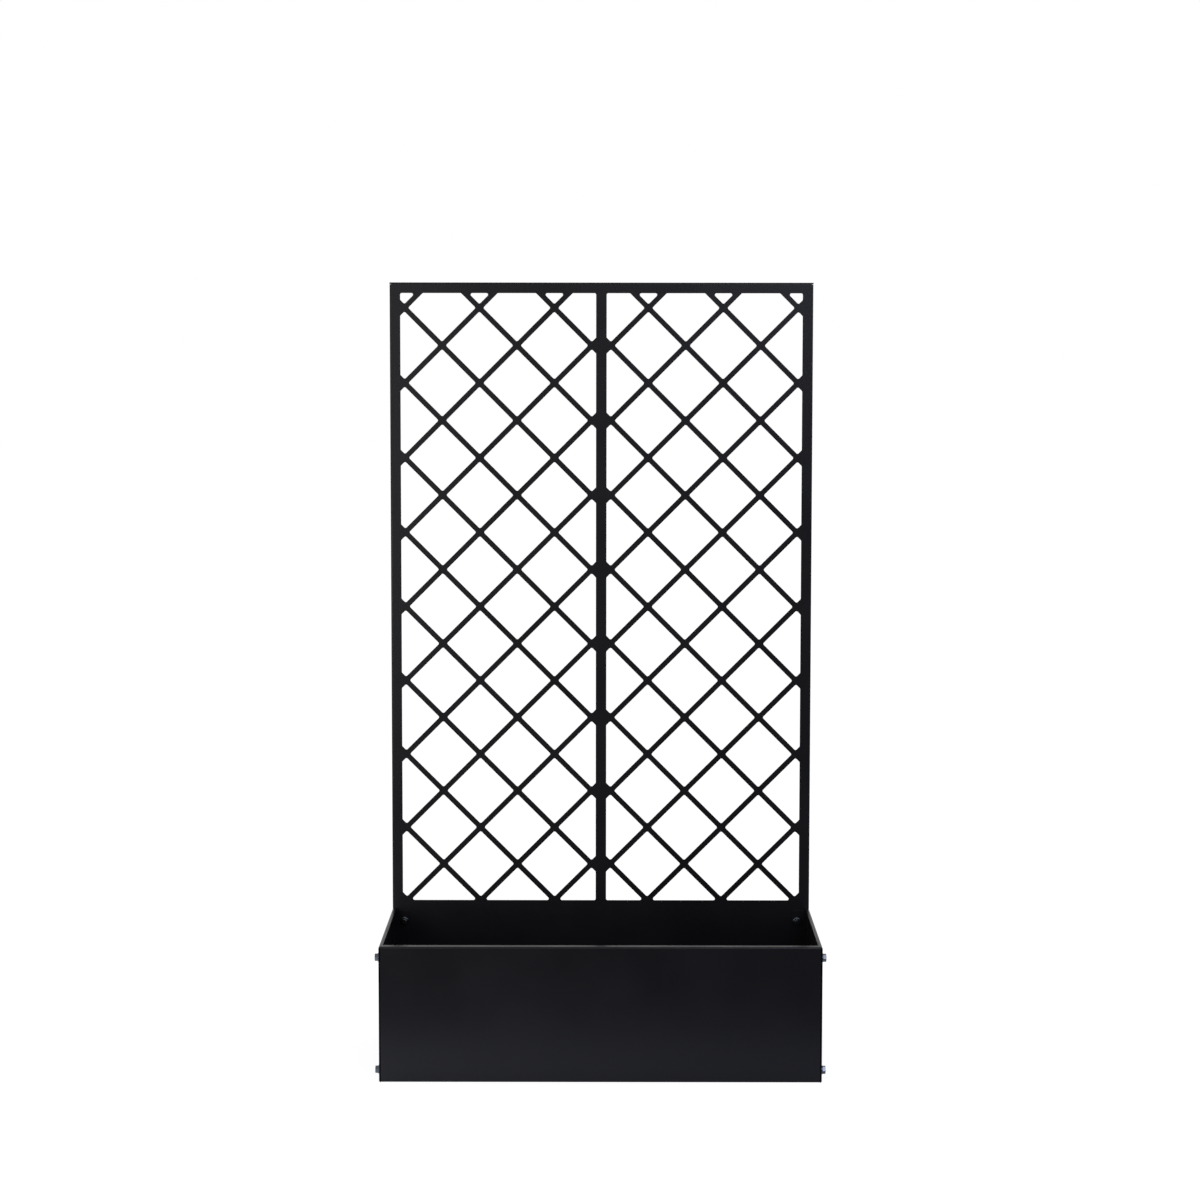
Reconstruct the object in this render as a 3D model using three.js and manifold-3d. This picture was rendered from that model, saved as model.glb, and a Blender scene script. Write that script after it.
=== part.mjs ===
// Planter box with a trellis: folded sheet-steel panels, a laser-cut lattice back and bolted corners.
// Millimetres, +Z up, front towards -Y. The origin is on the floor, under the middle of the outline.

import * as THREE from 'three';
import { mergeVertices } from 'three/addons/utils/BufferGeometryUtils.js';
import Module from 'manifold-3d';

const wasm = await Module();
wasm.setup();

// ---- Driving sizes -------------------------------------------------------------------------

const boxWidth = 800; // over the two side panels
const boxDepth = 354; // front face to the face of the trellis sheet
const boxHeight = 248; // floor to the rim
const overallHeight = 1444; // floor to the top of the trellis

const sheet = 1.5; // steel thickness
const insideRadius = 1.5; // of every fold
const seat = 0.3; // gap left between pieces that touch
const relief = 0.6; // slit between a fold and the end of the flange beside it

const frontLip = 16; // width of the front panel's top lip
const frontReturn = 30; // depth of the front panel's side returns
const sideLip = 7; // width of the side panels' top lips
const sideBackFlange = 32; // width of the side panels' back flanges
const bottomFlange = 22; // width of the flanges that carry the base
const trellisReturn = 20; // depth of the folded edges behind the trellis
const baseUpstand = 20; // height of the base panel's folded back edge

const border = 20; // plain strip beside and above the lattice
const centreBar = 20; // plain strip between the two lattice fields
const windowAboveRim = 15.5; // rim to the bottom of the lattice
const latticeMargin = 8; // field edge to the nearest column of cell centres
const halfCellsAcross = 5; // half cells between the first and the last column
const stripWidth = 10; // steel left between neighbouring cells
const cellFillet = 3; // corner radius of the cut-outs
const smallestCut = 8; // a cell that reaches less far into the field stays uncut

const boltDiameter = 8;
const boltLength = 16;
const headAcrossFlats = 13;
const headHeight = 5.3;
const headChamfer = 0.8; // depth of the bevel on heads and nuts
const nutHeight = 6.5;
const washerDiameter = 16;
const washerThickness = 1.6;
const boltClearance = 1; // added to the bolt's diameter for the holes in the sheets
const boltUnderRimFront = 22; // rim to the upper bolts in the ends
const boltUnderRimBack = 23.5; // rim to the upper bolts in the back
const boltAboveFloor = 20;
const backBoltInset = 23.5; // outer face of a side panel to the bolts in the back

const drainDiameter = 12;
const drainColumns = 3;
const drainRows = 2;
const drainInset = 80; // edges of the base to the nearest drain holes

const bendSteps = 2; // a quarter arc has twice as many segments
const filletSteps = 3;
const roundSides = 18;

// ---- Sizes that follow ---------------------------------------------------------------------

const bendRadius = insideRadius + sheet; // outside radius of every fold
const halfWidth = boxWidth / 2;
const backFaceY = (boxDepth - trellisReturn) / 2; // face of the trellis sheet
const frontY = backFaceY - boxDepth;
const frontHalfWidth = halfWidth - sheet - seat; // the front panel sits between the side panels
const sideBackY = backFaceY - seat; // the side panels end against the trellis sheet
const frontBoltY = frontY + frontReturn / 2;
const backBoltX = halfWidth - backBoltInset;
const upperFrontBoltZ = boxHeight - boltUnderRimFront;
const upperBackBoltZ = boxHeight - boltUnderRimBack;

const powderCoat = { color: 0x1b1c1e, roughness: 0.42, metalness: 0.0 };
const zincPlate = { color: 0xb9bdc4, roughness: 0.32, metalness: 1.0 };

// ---- Solids --------------------------------------------------------------------------------

// A closed geometry as a solid that can be joined and cut.
function solidOf(geometry) {
  const bare = geometry.clone();
  bare.deleteAttribute('normal');
  bare.deleteAttribute('uv');
  const merged = mergeVertices(bare, 1e-4);
  return new wasm.Manifold(new wasm.Mesh({
    numProp: 3,
    vertProperties: new Float32Array(merged.attributes.position.array),
    triVerts: new Uint32Array(merged.index.array),
  }));
}

function namedMesh(name, solid, finish) {
  const result = solid.getMesh();
  const geometry = new THREE.BufferGeometry();
  geometry.setAttribute('position', new THREE.BufferAttribute(result.vertProperties, 3));
  geometry.setIndex(new THREE.BufferAttribute(result.triVerts, 1));
  geometry.computeVertexNormals();
  const mesh = new THREE.Mesh(geometry, new THREE.MeshStandardMaterial(finish));
  mesh.name = name;
  return mesh;
}

function union(solids) {
  return solids.reduce((whole, next) => whole.add(next));
}

// A prism over an outline in the xy plane, from one z to another.
function prism(shape, fromZ, toZ, steps = bendSteps) {
  const options = { depth: toZ - fromZ, bevelEnabled: false, curveSegments: steps };
  const geometry = new THREE.ExtrudeGeometry(shape, options);
  geometry.translate(0, 0, fromZ);
  return solidOf(geometry);
}

function outlineOf(corners) {
  return new THREE.Shape(corners.map(([x, y]) => new THREE.Vector2(x, y)));
}

// A round hole's cutter through a point, along the axis given as 'x' or 'z'.
function drill(x, y, z, axis, diameter = boltDiameter + boltClearance) {
  const reach = 4 * bendRadius;
  const geometry = new THREE.CylinderGeometry(diameter / 2, diameter / 2, reach, roundSides);
  if (axis === 'x') geometry.rotateZ(Math.PI / 2);
  if (axis === 'z') geometry.rotateX(Math.PI / 2);
  geometry.translate(x, y, z);
  return solidOf(geometry);
}

// ---- Folded panels -------------------------------------------------------------------------
// A panel lies in its own xy plane: outer face at z = 0, width along x about the middle,
// height up y from 0, and its flanges fold towards +z.

// Section of a fold and its flange: x runs in from the folded edge, y into the depth.
function flangeSection(depth) {
  const section = new THREE.Shape();
  section.moveTo(bendRadius, 0);
  section.absarc(bendRadius, bendRadius, bendRadius, -Math.PI / 2, -Math.PI, true);
  section.lineTo(0, depth);
  section.lineTo(sheet, depth);
  section.lineTo(sheet, bendRadius);
  section.absarc(bendRadius, bendRadius, bendRadius - sheet, Math.PI, 1.5 * Math.PI, false);
  return section;
}

// A flange along one edge of a panel, from one place on that edge to another.
function flange(panel, edge, depth, from, to) {
  const options = { depth: to - from, bevelEnabled: false, curveSegments: bendSteps };
  const geometry = new THREE.ExtrudeGeometry(flangeSection(depth), options);
  const x = new THREE.Vector3(1, 0, 0);
  const y = new THREE.Vector3(0, 1, 0);
  const z = new THREE.Vector3(0, 0, 1);
  const place = new THREE.Matrix4();
  if (edge === 'top') {
    place.makeBasis(y.negate(), z, x.negate()).setPosition(to, panel.height, 0);
  } else if (edge === 'bottom') {
    place.makeBasis(y, z, x).setPosition(from, 0, 0);
  } else if (edge === 'left') {
    place.makeBasis(x, z, y.negate()).setPosition(-panel.width / 2, to, 0);
  } else {
    place.makeBasis(x.negate(), z, y).setPosition(panel.width / 2, from, 0);
  }
  geometry.applyMatrix4(place);
  return solidOf(geometry);
}

// The flat of a panel, which stops at the fold on every folded edge.
function webOutline(panel, folded) {
  const left = -panel.width / 2 + (folded.includes('left') ? bendRadius : 0);
  const right = panel.width / 2 - (folded.includes('right') ? bendRadius : 0);
  const bottom = folded.includes('bottom') ? bendRadius : 0;
  const top = panel.height - (folded.includes('top') ? bendRadius : 0);
  return outlineOf([[left, bottom], [right, bottom], [right, top], [left, top]]);
}

// A box-shaped cutter between two corners.
function block([x0, y0, z0], [x1, y1, z1]) {
  return prism(outlineOf([[x0, y0], [x1, y0], [x1, y1], [x0, y1]]), z0, z1);
}

// ---- Lattice -------------------------------------------------------------------------------

// The part of a polygon where inside(point) is not negative, cut along the line where it is zero.
function clip(points, inside) {
  const kept = [];
  points.forEach((point, i) => {
    const next = points[(i + 1) % points.length];
    const here = inside(point);
    const there = inside(next);
    if (here >= 0) kept.push(point);
    if (here * there < 0) kept.push(point.clone().lerp(next, here / (here - there)));
  });
  return kept;
}

// A closed outline through the corners, each rounded by an arc that touches both of its sides.
function roundedPath(corners, radius) {
  const points = [];
  corners.forEach((corner, i) => {
    const before = corners[(i + corners.length - 1) % corners.length].clone().sub(corner);
    const after = corners[(i + 1) % corners.length].clone().sub(corner);
    const half = Math.acos(before.dot(after) / (before.length() * after.length())) / 2;
    const room = Math.min(before.length(), after.length()) / 2;
    const r = Math.min(radius, room * Math.tan(half));
    const middle = before.normalize().add(after.normalize()).normalize();
    const centre = corner.clone().addScaledVector(middle, r / Math.sin(half));
    const turn = Math.sign(before.x * after.y - before.y * after.x);
    const sweep = turn * (Math.PI - 2 * half);
    const start = Math.atan2(-middle.y, -middle.x) + sweep / 2;
    for (let step = 0; step <= filletSteps; step += 1) {
      const angle = start - sweep * step / filletSteps;
      points.push(new THREE.Vector2(centre.x + r * Math.cos(angle), centre.y + r * Math.sin(angle)));
    }
  });
  return new THREE.Path(points);
}

// The diamond cut-outs of one field, clipped to it. side is -1 for the left field, 1 for the right.
function latticeCuts(side) {
  const inner = centreBar / 2;
  const outer = halfWidth - border;
  const bottom = boxHeight + windowAboveRim;
  const top = overallHeight - border;
  const step = (outer - inner - 2 * latticeMargin) / halfCellsAcross;
  const reach = step - stripWidth / Math.SQRT2;
  const cuts = [];
  for (let row = 0; bottom + row * step - reach < top - smallestCut; row += 1) {
    const y = bottom + row * step;
    for (let column = row % 2; column <= halfCellsAcross; column += 2) {
      const x = inner + latticeMargin + column * step;
      const diamond = [[x + reach, y], [x, y + reach], [x - reach, y], [x, y - reach]];
      let corners = diamond.map(([px, py]) => new THREE.Vector2(px, py));
      corners = clip(corners, (p) => p.x - inner);
      corners = clip(corners, (p) => outer - p.x);
      corners = clip(corners, (p) => p.y - bottom);
      corners = clip(corners, (p) => top - p.y);
      corners.forEach((p) => { p.x *= side; });
      cuts.push(roundedPath(corners, cellFillet));
    }
  }
  return cuts;
}

// ---- Panels --------------------------------------------------------------------------------

// Turns a panel from its own plane to upright. At turn 0 its outer face looks towards +Y.
function stand(mesh, turn, x, y) {
  mesh.rotation.set(Math.PI / 2, 0, turn, 'ZXY');
  mesh.position.set(x, y, 0);
  return mesh;
}

const foldEnd = bendRadius + relief; // where an upright flange stops, from a fold above or below

function trellisPanel() {
  const panel = { width: boxWidth, height: overallHeight };
  const web = webOutline(panel, ['left', 'right', 'top', 'bottom']);
  web.holes.push(...latticeCuts(-1), ...latticeCuts(1));
  let solid = union([
    prism(web, 0, sheet),
    flange(panel, 'top', trellisReturn, -halfWidth, halfWidth),
    flange(panel, 'bottom', trellisReturn, -halfWidth, halfWidth),
    flange(panel, 'left', trellisReturn, foldEnd, overallHeight - foldEnd),
    flange(panel, 'right', trellisReturn, foldEnd, overallHeight - foldEnd),
  ]);
  for (const x of [-backBoltX, backBoltX]) {
    solid = solid.subtract(drill(x, boltAboveFloor, 0, 'z'));
    solid = solid.subtract(drill(x, upperBackBoltZ, 0, 'z'));
  }
  return stand(namedMesh('trellis_panel', solid, powderCoat), Math.PI, 0, backFaceY);
}

// The lips meet on a slanted line from the outer corner to the inner one. Its points are given as
// distance in from the end of the box and distance back from its front.
const mitreFrom = new THREE.Vector2(sheet + seat / 2, 0);
const mitreTo = new THREE.Vector2(sideLip, frontLip);

// What lies beyond the mitre as seen from a lip, at the height of the rim. away is the distance in
// from the end of the box to which the cutter runs, and place turns a point into panel x and depth.
function mitreCutter(away, place) {
  const along = mitreTo.clone().sub(mitreFrom);
  const across = new THREE.Vector2(along.y, -along.x).setLength(seat / 2);
  if (away > 0) across.negate();
  const start = mitreFrom.clone().addScaledVector(along, -0.5).add(across);
  const end = mitreTo.clone().addScaledVector(along, 0.5).add(across);
  const corners = [start, end, new THREE.Vector2(away, end.y), new THREE.Vector2(away, start.y)];
  const outline = corners.map((point) => {
    const [x, depth] = place(point.x, point.y);
    return [x, -depth];
  });
  if (THREE.ShapeUtils.area(outlineOf(outline).getPoints()) < 0) outline.reverse();
  const options = { depth: 2 * bendRadius, bevelEnabled: false };
  const geometry = new THREE.ExtrudeGeometry(outlineOf(outline), options);
  geometry.rotateX(-Math.PI / 2);
  geometry.translate(0, boxHeight - bendRadius, 0);
  return solidOf(geometry);
}

function frontPanel() {
  const panel = { width: 2 * frontHalfWidth, height: boxHeight };
  const bottomHalf = halfWidth - bendRadius - seat; // clears the side panels' bottom folds
  let solid = union([
    prism(webOutline(panel, ['left', 'right', 'top', 'bottom']), 0, sheet),
    flange(panel, 'top', frontLip, -frontHalfWidth, frontHalfWidth),
    flange(panel, 'bottom', bottomFlange, -bottomHalf, bottomHalf),
    flange(panel, 'left', frontReturn, foldEnd, boxHeight - foldEnd),
    flange(panel, 'right', frontReturn, foldEnd, boxHeight - foldEnd),
  ]);
  for (const side of [-1, 1]) {
    const mitre = mitreCutter(-sideLip, (inFromEnd, back) => [side * (halfWidth - inFromEnd), back]);
    const corner = halfWidth - bottomFlange - seat; // the side panels' flanges fill the corners
    const notch = block(
      [Math.min(side * corner, side * halfWidth), -sheet, bendRadius],
      [Math.max(side * corner, side * halfWidth), bendRadius, 2 * bottomFlange],
    );
    const returns = [boltAboveFloor, upperFrontBoltZ].map(
      (z) => drill(side * frontHalfWidth, z, frontReturn / 2, 'x'),
    );
    solid = [mitre, notch, ...returns].reduce((whole, cutter) => whole.subtract(cutter), solid);
  }
  return stand(namedMesh('front_panel', solid, powderCoat), Math.PI, 0, frontY);
}

// side is -1 for the left panel and 1 for the right. Seen from outside, the raw front edge of the
// left panel is at its own left, that of the right panel at its right.
function sidePanel(side) {
  const width = sideBackY - frontY;
  const panel = { width, height: boxHeight };
  const back = side < 0 ? 'right' : 'left';
  const across = (fromFront) => side * (width / 2 - fromFront); // panel x from the distance back
  const notchEnd = bendRadius + seat; // the front panel's bottom fold fits in front of the flange
  let solid = union([
    prism(webOutline(panel, ['top', 'bottom', back]), 0, sheet),
    flange(panel, 'top', sideLip, -width / 2, width / 2),
    flange(panel, 'bottom', bottomFlange, -width / 2, width / 2),
    flange(panel, back, sideBackFlange, foldEnd, boxHeight - foldEnd),
  ]);
  const cutters = [
    mitreCutter(2 * frontLip, (inFromEnd, fromFront) => [across(fromFront), inFromEnd]),
    block(
      [Math.min(across(-sheet), across(notchEnd)), -sheet, bendRadius],
      [Math.max(across(-sheet), across(notchEnd)), bendRadius, 2 * bottomFlange],
    ),
  ];
  for (const z of [boltAboveFloor, upperFrontBoltZ]) {
    cutters.push(drill(across(frontReturn / 2), z, 0, 'z'));
  }
  for (const z of [boltAboveFloor, upperBackBoltZ]) {
    cutters.push(drill(across(width), z, backBoltInset, 'x'));
  }
  solid = cutters.reduce((whole, cutter) => whole.subtract(cutter), solid);
  const name = side < 0 ? 'left_side_panel' : 'right_side_panel';
  const mesh = namedMesh(name, solid, powderCoat);
  return stand(mesh, -side * Math.PI / 2, side * halfWidth, (frontY + sideBackY) / 2);
}

// The base lies on the bottom flanges, between the front panel's returns.
function basePanel() {
  const halfAcross = frontHalfWidth - sheet - seat;
  const frontEdge = frontY + bendRadius + seat;
  const panel = { width: 2 * halfAcross, height: sideBackY - frontEdge };
  const upstandHalf = halfWidth - sideBackFlange - seat;
  let solid = union([
    prism(webOutline(panel, ['top']), 0, sheet),
    flange(panel, 'top', baseUpstand, -upstandHalf, upstandHalf),
  ]);
  for (let column = 0; column < drainColumns; column += 1) {
    for (let row = 0; row < drainRows; row += 1) {
      const x = (halfAcross - drainInset) * (2 * column / (drainColumns - 1) - 1);
      const y = drainInset + (panel.height - 2 * drainInset) * row / (drainRows - 1);
      solid = solid.subtract(drill(x, y, 0, 'z', drainDiameter));
    }
  }
  const mesh = namedMesh('base_panel', solid, powderCoat);
  mesh.position.set(0, frontEdge, sheet + seat);
  return mesh;
}

// ---- Fasteners -----------------------------------------------------------------------------
// A bolted joint lies along its own z axis, which points out of the box. z = 0 is the outer face
// of the outer sheet.

const jointStack = 2 * sheet + seat; // two sheets and the gap between them
const headSeat = 2 * seat + washerThickness; // underside of the head

function cylinder(diameter, fromZ, toZ, sides = roundSides) {
  const geometry = new THREE.CylinderGeometry(diameter / 2, diameter / 2, toZ - fromZ, sides);
  geometry.rotateX(Math.PI / 2);
  geometry.translate(0, 0, (fromZ + toZ) / 2);
  return solidOf(geometry);
}

// A hexagon whose corners are bevelled at the top, and at the bottom too where bothEnds is true.
function hexagon(acrossFlats, fromZ, toZ, bothEnds) {
  const acrossCorners = acrossFlats / Math.cos(Math.PI / 6);
  const r = acrossCorners / 2;
  const flat = r - headChamfer * Math.sqrt(3); // a bevel of 30 degrees to the end face
  const bottom = bothEnds
    ? [[0, fromZ], [flat, fromZ], [r, fromZ + headChamfer]]
    : [[0, fromZ], [r, fromZ]];
  const profile = [...bottom, [r, toZ - headChamfer], [flat, toZ], [0, toZ]];
  const points = profile.map(([x, y]) => new THREE.Vector2(x, y));
  const bevel = new THREE.LatheGeometry(points, roundSides);
  bevel.rotateX(Math.PI / 2);
  return cylinder(acrossCorners, fromZ, toZ, 6).intersect(solidOf(bevel));
}

function bolt(name) {
  const head = hexagon(headAcrossFlats, headSeat, headSeat + headHeight, false);
  const shank = cylinder(boltDiameter, headSeat - boltLength, headSeat + headHeight / 2);
  return namedMesh(name, head.add(shank), zincPlate);
}

function washer(name) {
  const disc = cylinder(washerDiameter, seat, seat + washerThickness);
  const bore = cylinder(boltDiameter + 2 * seat, 0, headSeat);
  return namedMesh(name, disc.subtract(bore), zincPlate);
}

function nut(name) {
  const top = -jointStack - seat;
  const body = hexagon(headAcrossFlats, top - nutHeight, top, true);
  const bore = cylinder(boltDiameter + 2 * seat, top - 2 * nutHeight, 0);
  return namedMesh(name, body.subtract(bore), zincPlate);
}

// A bolt, its washer and its nut. outward is 'left', 'right' or 'back'.
function boltedJoint(name, outward, x, y, z) {
  const joint = new THREE.Group();
  joint.add(bolt(`${name}_bolt`), washer(`${name}_washer`), nut(`${name}_nut`));
  if (outward === 'left') joint.rotation.y = -Math.PI / 2;
  if (outward === 'right') joint.rotation.y = Math.PI / 2;
  if (outward === 'back') joint.rotation.x = -Math.PI / 2;
  joint.position.set(x, y, z);
  return joint;
}

function fasteners() {
  const group = new THREE.Group();
  const levels = [
    ['lower', boltAboveFloor, boltAboveFloor],
    ['upper', upperFrontBoltZ, upperBackBoltZ],
  ];
  for (const [end, side] of [['left', -1], ['right', 1]]) {
    for (const [level, frontZ, backZ] of levels) {
      const front = boltedJoint(`front_${end}_${level}`, end, side * halfWidth, frontBoltY, frontZ);
      const backX = side * backBoltX;
      const back = boltedJoint(`back_${end}_${level}`, 'back', backX, backFaceY + sheet, backZ);
      group.add(front, back);
    }
  }
  return group;
}

// ---- The planter ---------------------------------------------------------------------------

const planter = new THREE.Group();
const box = new THREE.Group();
box.add(frontPanel(), sidePanel(-1), sidePanel(1), basePanel());
planter.add(box, trellisPanel(), fasteners());

export default planter;
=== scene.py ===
# %% [markdown]
# # A planter box with a trellis
# A steel planter box whose back wall rises into a tall laser-cut lattice. Every panel is one sheet,
# 1.5 mm thick, folded at its edges and powder-coated black, and M8 bolts hold the corners together.
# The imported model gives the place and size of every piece. This script gives each of them the surface
# that the real one has: eased edges, round folds, a satin coat and zinc-plated fasteners.

# %% Load the frame
import math

import bmesh
import bpy
from mathutils import Matrix, Vector


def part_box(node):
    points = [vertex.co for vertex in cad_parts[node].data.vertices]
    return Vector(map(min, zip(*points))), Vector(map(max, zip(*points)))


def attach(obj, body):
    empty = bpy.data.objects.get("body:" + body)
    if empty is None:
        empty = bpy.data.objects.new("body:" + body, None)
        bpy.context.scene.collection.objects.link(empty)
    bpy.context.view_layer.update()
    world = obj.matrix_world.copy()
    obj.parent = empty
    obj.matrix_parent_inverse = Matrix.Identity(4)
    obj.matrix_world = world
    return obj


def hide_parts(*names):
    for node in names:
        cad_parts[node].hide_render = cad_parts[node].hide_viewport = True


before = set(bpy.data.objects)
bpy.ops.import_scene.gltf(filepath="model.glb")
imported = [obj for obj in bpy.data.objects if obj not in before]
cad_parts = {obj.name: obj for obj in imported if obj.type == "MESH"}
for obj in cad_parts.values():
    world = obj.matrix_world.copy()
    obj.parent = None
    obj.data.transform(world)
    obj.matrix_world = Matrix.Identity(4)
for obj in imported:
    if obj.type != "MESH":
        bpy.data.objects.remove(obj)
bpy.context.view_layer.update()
MM = 0.001
print("nodes in the frame:", len(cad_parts))

# %% [markdown]
# ## Camera
# The photograph was taken from about 5.1 m in front of the box and 1.35 m above the floor, with the
# camera tilted down by 5 degrees. The focal length is in pixels of the 1200-pixel frame, so the lens
# in millimetres follows from the sensor's width. A small shift puts the horizon where it is in the
# photograph.

# %% Place the camera
IMAGE_SIDE = 1200
FOCAL_PIXELS = 2893.2
CAMERA_PLACE = Vector((7.0, -5317.9, 1351.8)) * MM
PITCH_DOWN = math.radians(4.927)
TURN_LEFT = math.radians(0.096)
ROLL = math.radians(0.057)
HORIZON_LIFT = 19.0  # pixels that the optical axis lies above the middle of the frame

camera_data = bpy.data.cameras.new("camera")
camera_data.sensor_width = 36.0
camera_data.lens = FOCAL_PIXELS / IMAGE_SIDE * camera_data.sensor_width
camera_data.shift_y = -HORIZON_LIFT / IMAGE_SIDE
camera_data.clip_end = 100.0
camera = bpy.data.objects.new("camera", camera_data)
camera.matrix_world = (
    Matrix.Translation(CAMERA_PLACE)
    @ Matrix.Rotation(TURN_LEFT, 4, "Z")
    @ Matrix.Rotation(math.pi / 2 - PITCH_DOWN, 4, "X")
    @ Matrix.Rotation(ROLL, 4, "Z")
)
bpy.context.scene.collection.objects.link(camera)
bpy.context.scene.camera = camera
bpy.context.scene.view_settings.view_transform = "Standard"
print("lens %.1f mm" % camera_data.lens)

# %% [markdown]
# ## Two helpers for node trees
# Materials and Geometry Nodes are both trees of nodes. One function adds a node with its settings and
# fills its sockets, with a value or with a link from another node. The other turns a colour written as
# sRGB hex into the linear values that shaders work in.

# %% Add a node, read a colour
def add(tree, kind, sockets=None, **settings):
    """A new node. sockets maps an input's name or number to a value or to what it is linked from.

    That is an output of another node, or a node, which stands for its first output, or a list of them.
    """
    node = tree.nodes.new(kind)
    for name, value in settings.items():
        setattr(node, name, value)
    for name, value in (sockets or {}).items():
        for one in value if isinstance(value, list) else [value]:
            if isinstance(one, bpy.types.Node):
                one = one.outputs[0]
            if isinstance(one, bpy.types.NodeSocket):
                tree.links.new(one, node.inputs[name])
            else:
                node.inputs[name].default_value = one
    return node


def linear(hex_colour):
    """An sRGB colour such as "1c1d1f" as linear red, green, blue and alpha."""
    values = [int(hex_colour[i:i + 2], 16) / 255 for i in (0, 2, 4)]
    return tuple(v / 12.92 if v <= 0.04045 else ((v + 0.055) / 1.055) ** 2.4 for v in values) + (1.0,)


print("the sRGB colour 808080 is %.3f in linear light" % linear("808080")[0])

# %% [markdown]
# ## Powder-coated steel
# Powder coat is a plastic powder baked on in a skin of about 0.08 mm. It flows before it sets, so it
# keeps a slight orange-peel swell a few millimetres across and a fine grain, and it has a satin gloss.
# Both textures are a bump on noise in real sizes. Roughness and tint vary a little over each panel,
# which keeps broad reflections alive.

# %% Make the powder coat
COAT_HEXES = "0c0c0f", "0f0e12"  # the two blacks that the coat varies between
COAT_ROUGHNESS = 0.32
ROUGHNESS_SWING = 0.03
COAT_IOR = 1.42
PEEL_SIZE = 3.5 * MM  # width of one swell of the orange peel
PEEL_DEPTH = 0.10 * MM
GRAIN_SIZE = 0.7 * MM  # drawn coarser than the real grain of 0.2 mm, so that it shows close up
GRAIN_DEPTH = 0.05 * MM
CLOUDS_PER_METRE = 9.0
NOISE_LOW, NOISE_HIGH = 0.3, 0.7  # where most of a noise's values lie


def new_material(name):
    """A material with an empty node tree."""
    material = bpy.data.materials.new(name)
    material.use_nodes = True
    material.node_tree.nodes.clear()
    return material


def powder_coated_steel():
    material = new_material("powder-coated steel")
    tree = material.node_tree
    place = add(tree, "ShaderNodeTexCoord").outputs["Object"]
    peel = add(tree, "ShaderNodeTexNoise", {"Vector": place, "Scale": 1 / PEEL_SIZE, "Detail": 1.0})
    grain = add(tree, "ShaderNodeTexNoise", {"Vector": place, "Scale": 1 / GRAIN_SIZE, "Detail": 2.0})
    cloud = add(tree, "ShaderNodeTexNoise", {"Vector": place, "Scale": CLOUDS_PER_METRE, "Detail": 3.0})
    swell = add(tree, "ShaderNodeBump", {"Height": peel, "Strength": 0.12, "Distance": PEEL_DEPTH})
    bump = add(tree, "ShaderNodeBump", {
        "Height": grain, "Strength": 0.15, "Distance": GRAIN_DEPTH, "Normal": swell})
    gloss = add(tree, "ShaderNodeMapRange", {
        "Value": cloud, "From Min": NOISE_LOW, "From Max": NOISE_HIGH,
        "To Min": COAT_ROUGHNESS - ROUGHNESS_SWING, "To Max": COAT_ROUGHNESS + ROUGHNESS_SWING})
    tint = add(tree, "ShaderNodeMix", {
        0: cloud, 6: linear(COAT_HEXES[0]), 7: linear(COAT_HEXES[1])}, data_type="RGBA")
    shader = add(tree, "ShaderNodeBsdfPrincipled", {
        "Base Color": tint.outputs[2], "Roughness": gloss, "IOR": COAT_IOR, "Normal": bump})
    add(tree, "ShaderNodeOutputMaterial", {"Surface": shader})
    return material


COAT = powder_coated_steel()
print("made", COAT.name)

# %% [markdown]
# ## Zinc-plated steel
# The bolts, washers and nuts are zinc-plated and passivated: a bluish grey metal, slightly clouded,
# whose flats are dark until one of them catches a lamp. Metal keeps the default IOR, and its colour is
# the colour of its reflections. Fine scuffs from the spanner are a bump.

# %% Make the zinc plating
ZINC_HEXES = "84898f", "6d737b"  # the two greys that the plating varies between
ZINC_ROUGHNESS = 0.18, 0.30  # at its glossiest and at its dullest
ZINC_CLOUD_SIZE = 4 * MM
SCUFF_SIZE = 0.6 * MM
SCUFF_DEPTH = 0.03 * MM


def zinc_plated_steel():
    material = new_material("zinc-plated steel")
    tree = material.node_tree
    place = add(tree, "ShaderNodeTexCoord").outputs["Object"]
    cloud = add(tree, "ShaderNodeTexNoise", {"Vector": place, "Scale": 1 / ZINC_CLOUD_SIZE, "Detail": 4.0})
    scuff = add(tree, "ShaderNodeTexNoise", {"Vector": place, "Scale": 1 / SCUFF_SIZE, "Detail": 2.0})
    gloss = add(tree, "ShaderNodeMapRange", {
        "Value": cloud, "From Min": NOISE_LOW, "From Max": NOISE_HIGH,
        "To Min": ZINC_ROUGHNESS[0], "To Max": ZINC_ROUGHNESS[1]})
    tint = add(tree, "ShaderNodeMix", {
        0: cloud, 6: linear(ZINC_HEXES[0]), 7: linear(ZINC_HEXES[1])}, data_type="RGBA")
    bump = add(tree, "ShaderNodeBump", {"Height": scuff, "Strength": 0.2, "Distance": SCUFF_DEPTH})
    shader = add(tree, "ShaderNodeBsdfPrincipled", {
        "Base Color": tint.outputs[2], "Roughness": gloss, "Metallic": 1.0, "Normal": bump})
    add(tree, "ShaderNodeOutputMaterial", {"Surface": shader})
    return material


ZINC = zinc_plated_steel()
print("made", ZINC.name)

# %% [markdown]
# ## Turning node trees and modifiers into plain meshes
# A piece is worked out with Geometry Nodes or with modifiers and then kept as a plain mesh at the
# origin. A Geometry Nodes modifier takes its inputs by the sockets' identifiers, so a small function
# looks those up by name. Every tree ends alike: its instances are made real and get their material.

# %% Helpers for meshes
def object_of(name, data):
    """An object at the origin that shows a mesh."""
    made = bpy.data.objects.new(name, data)
    bpy.context.scene.collection.objects.link(made)
    return made


def object_from(name, mesh):
    """An object that shows what was drawn in mesh code."""
    data = bpy.data.meshes.new(name)
    mesh.to_mesh(data)
    mesh.free()
    return object_of(name, data)


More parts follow.
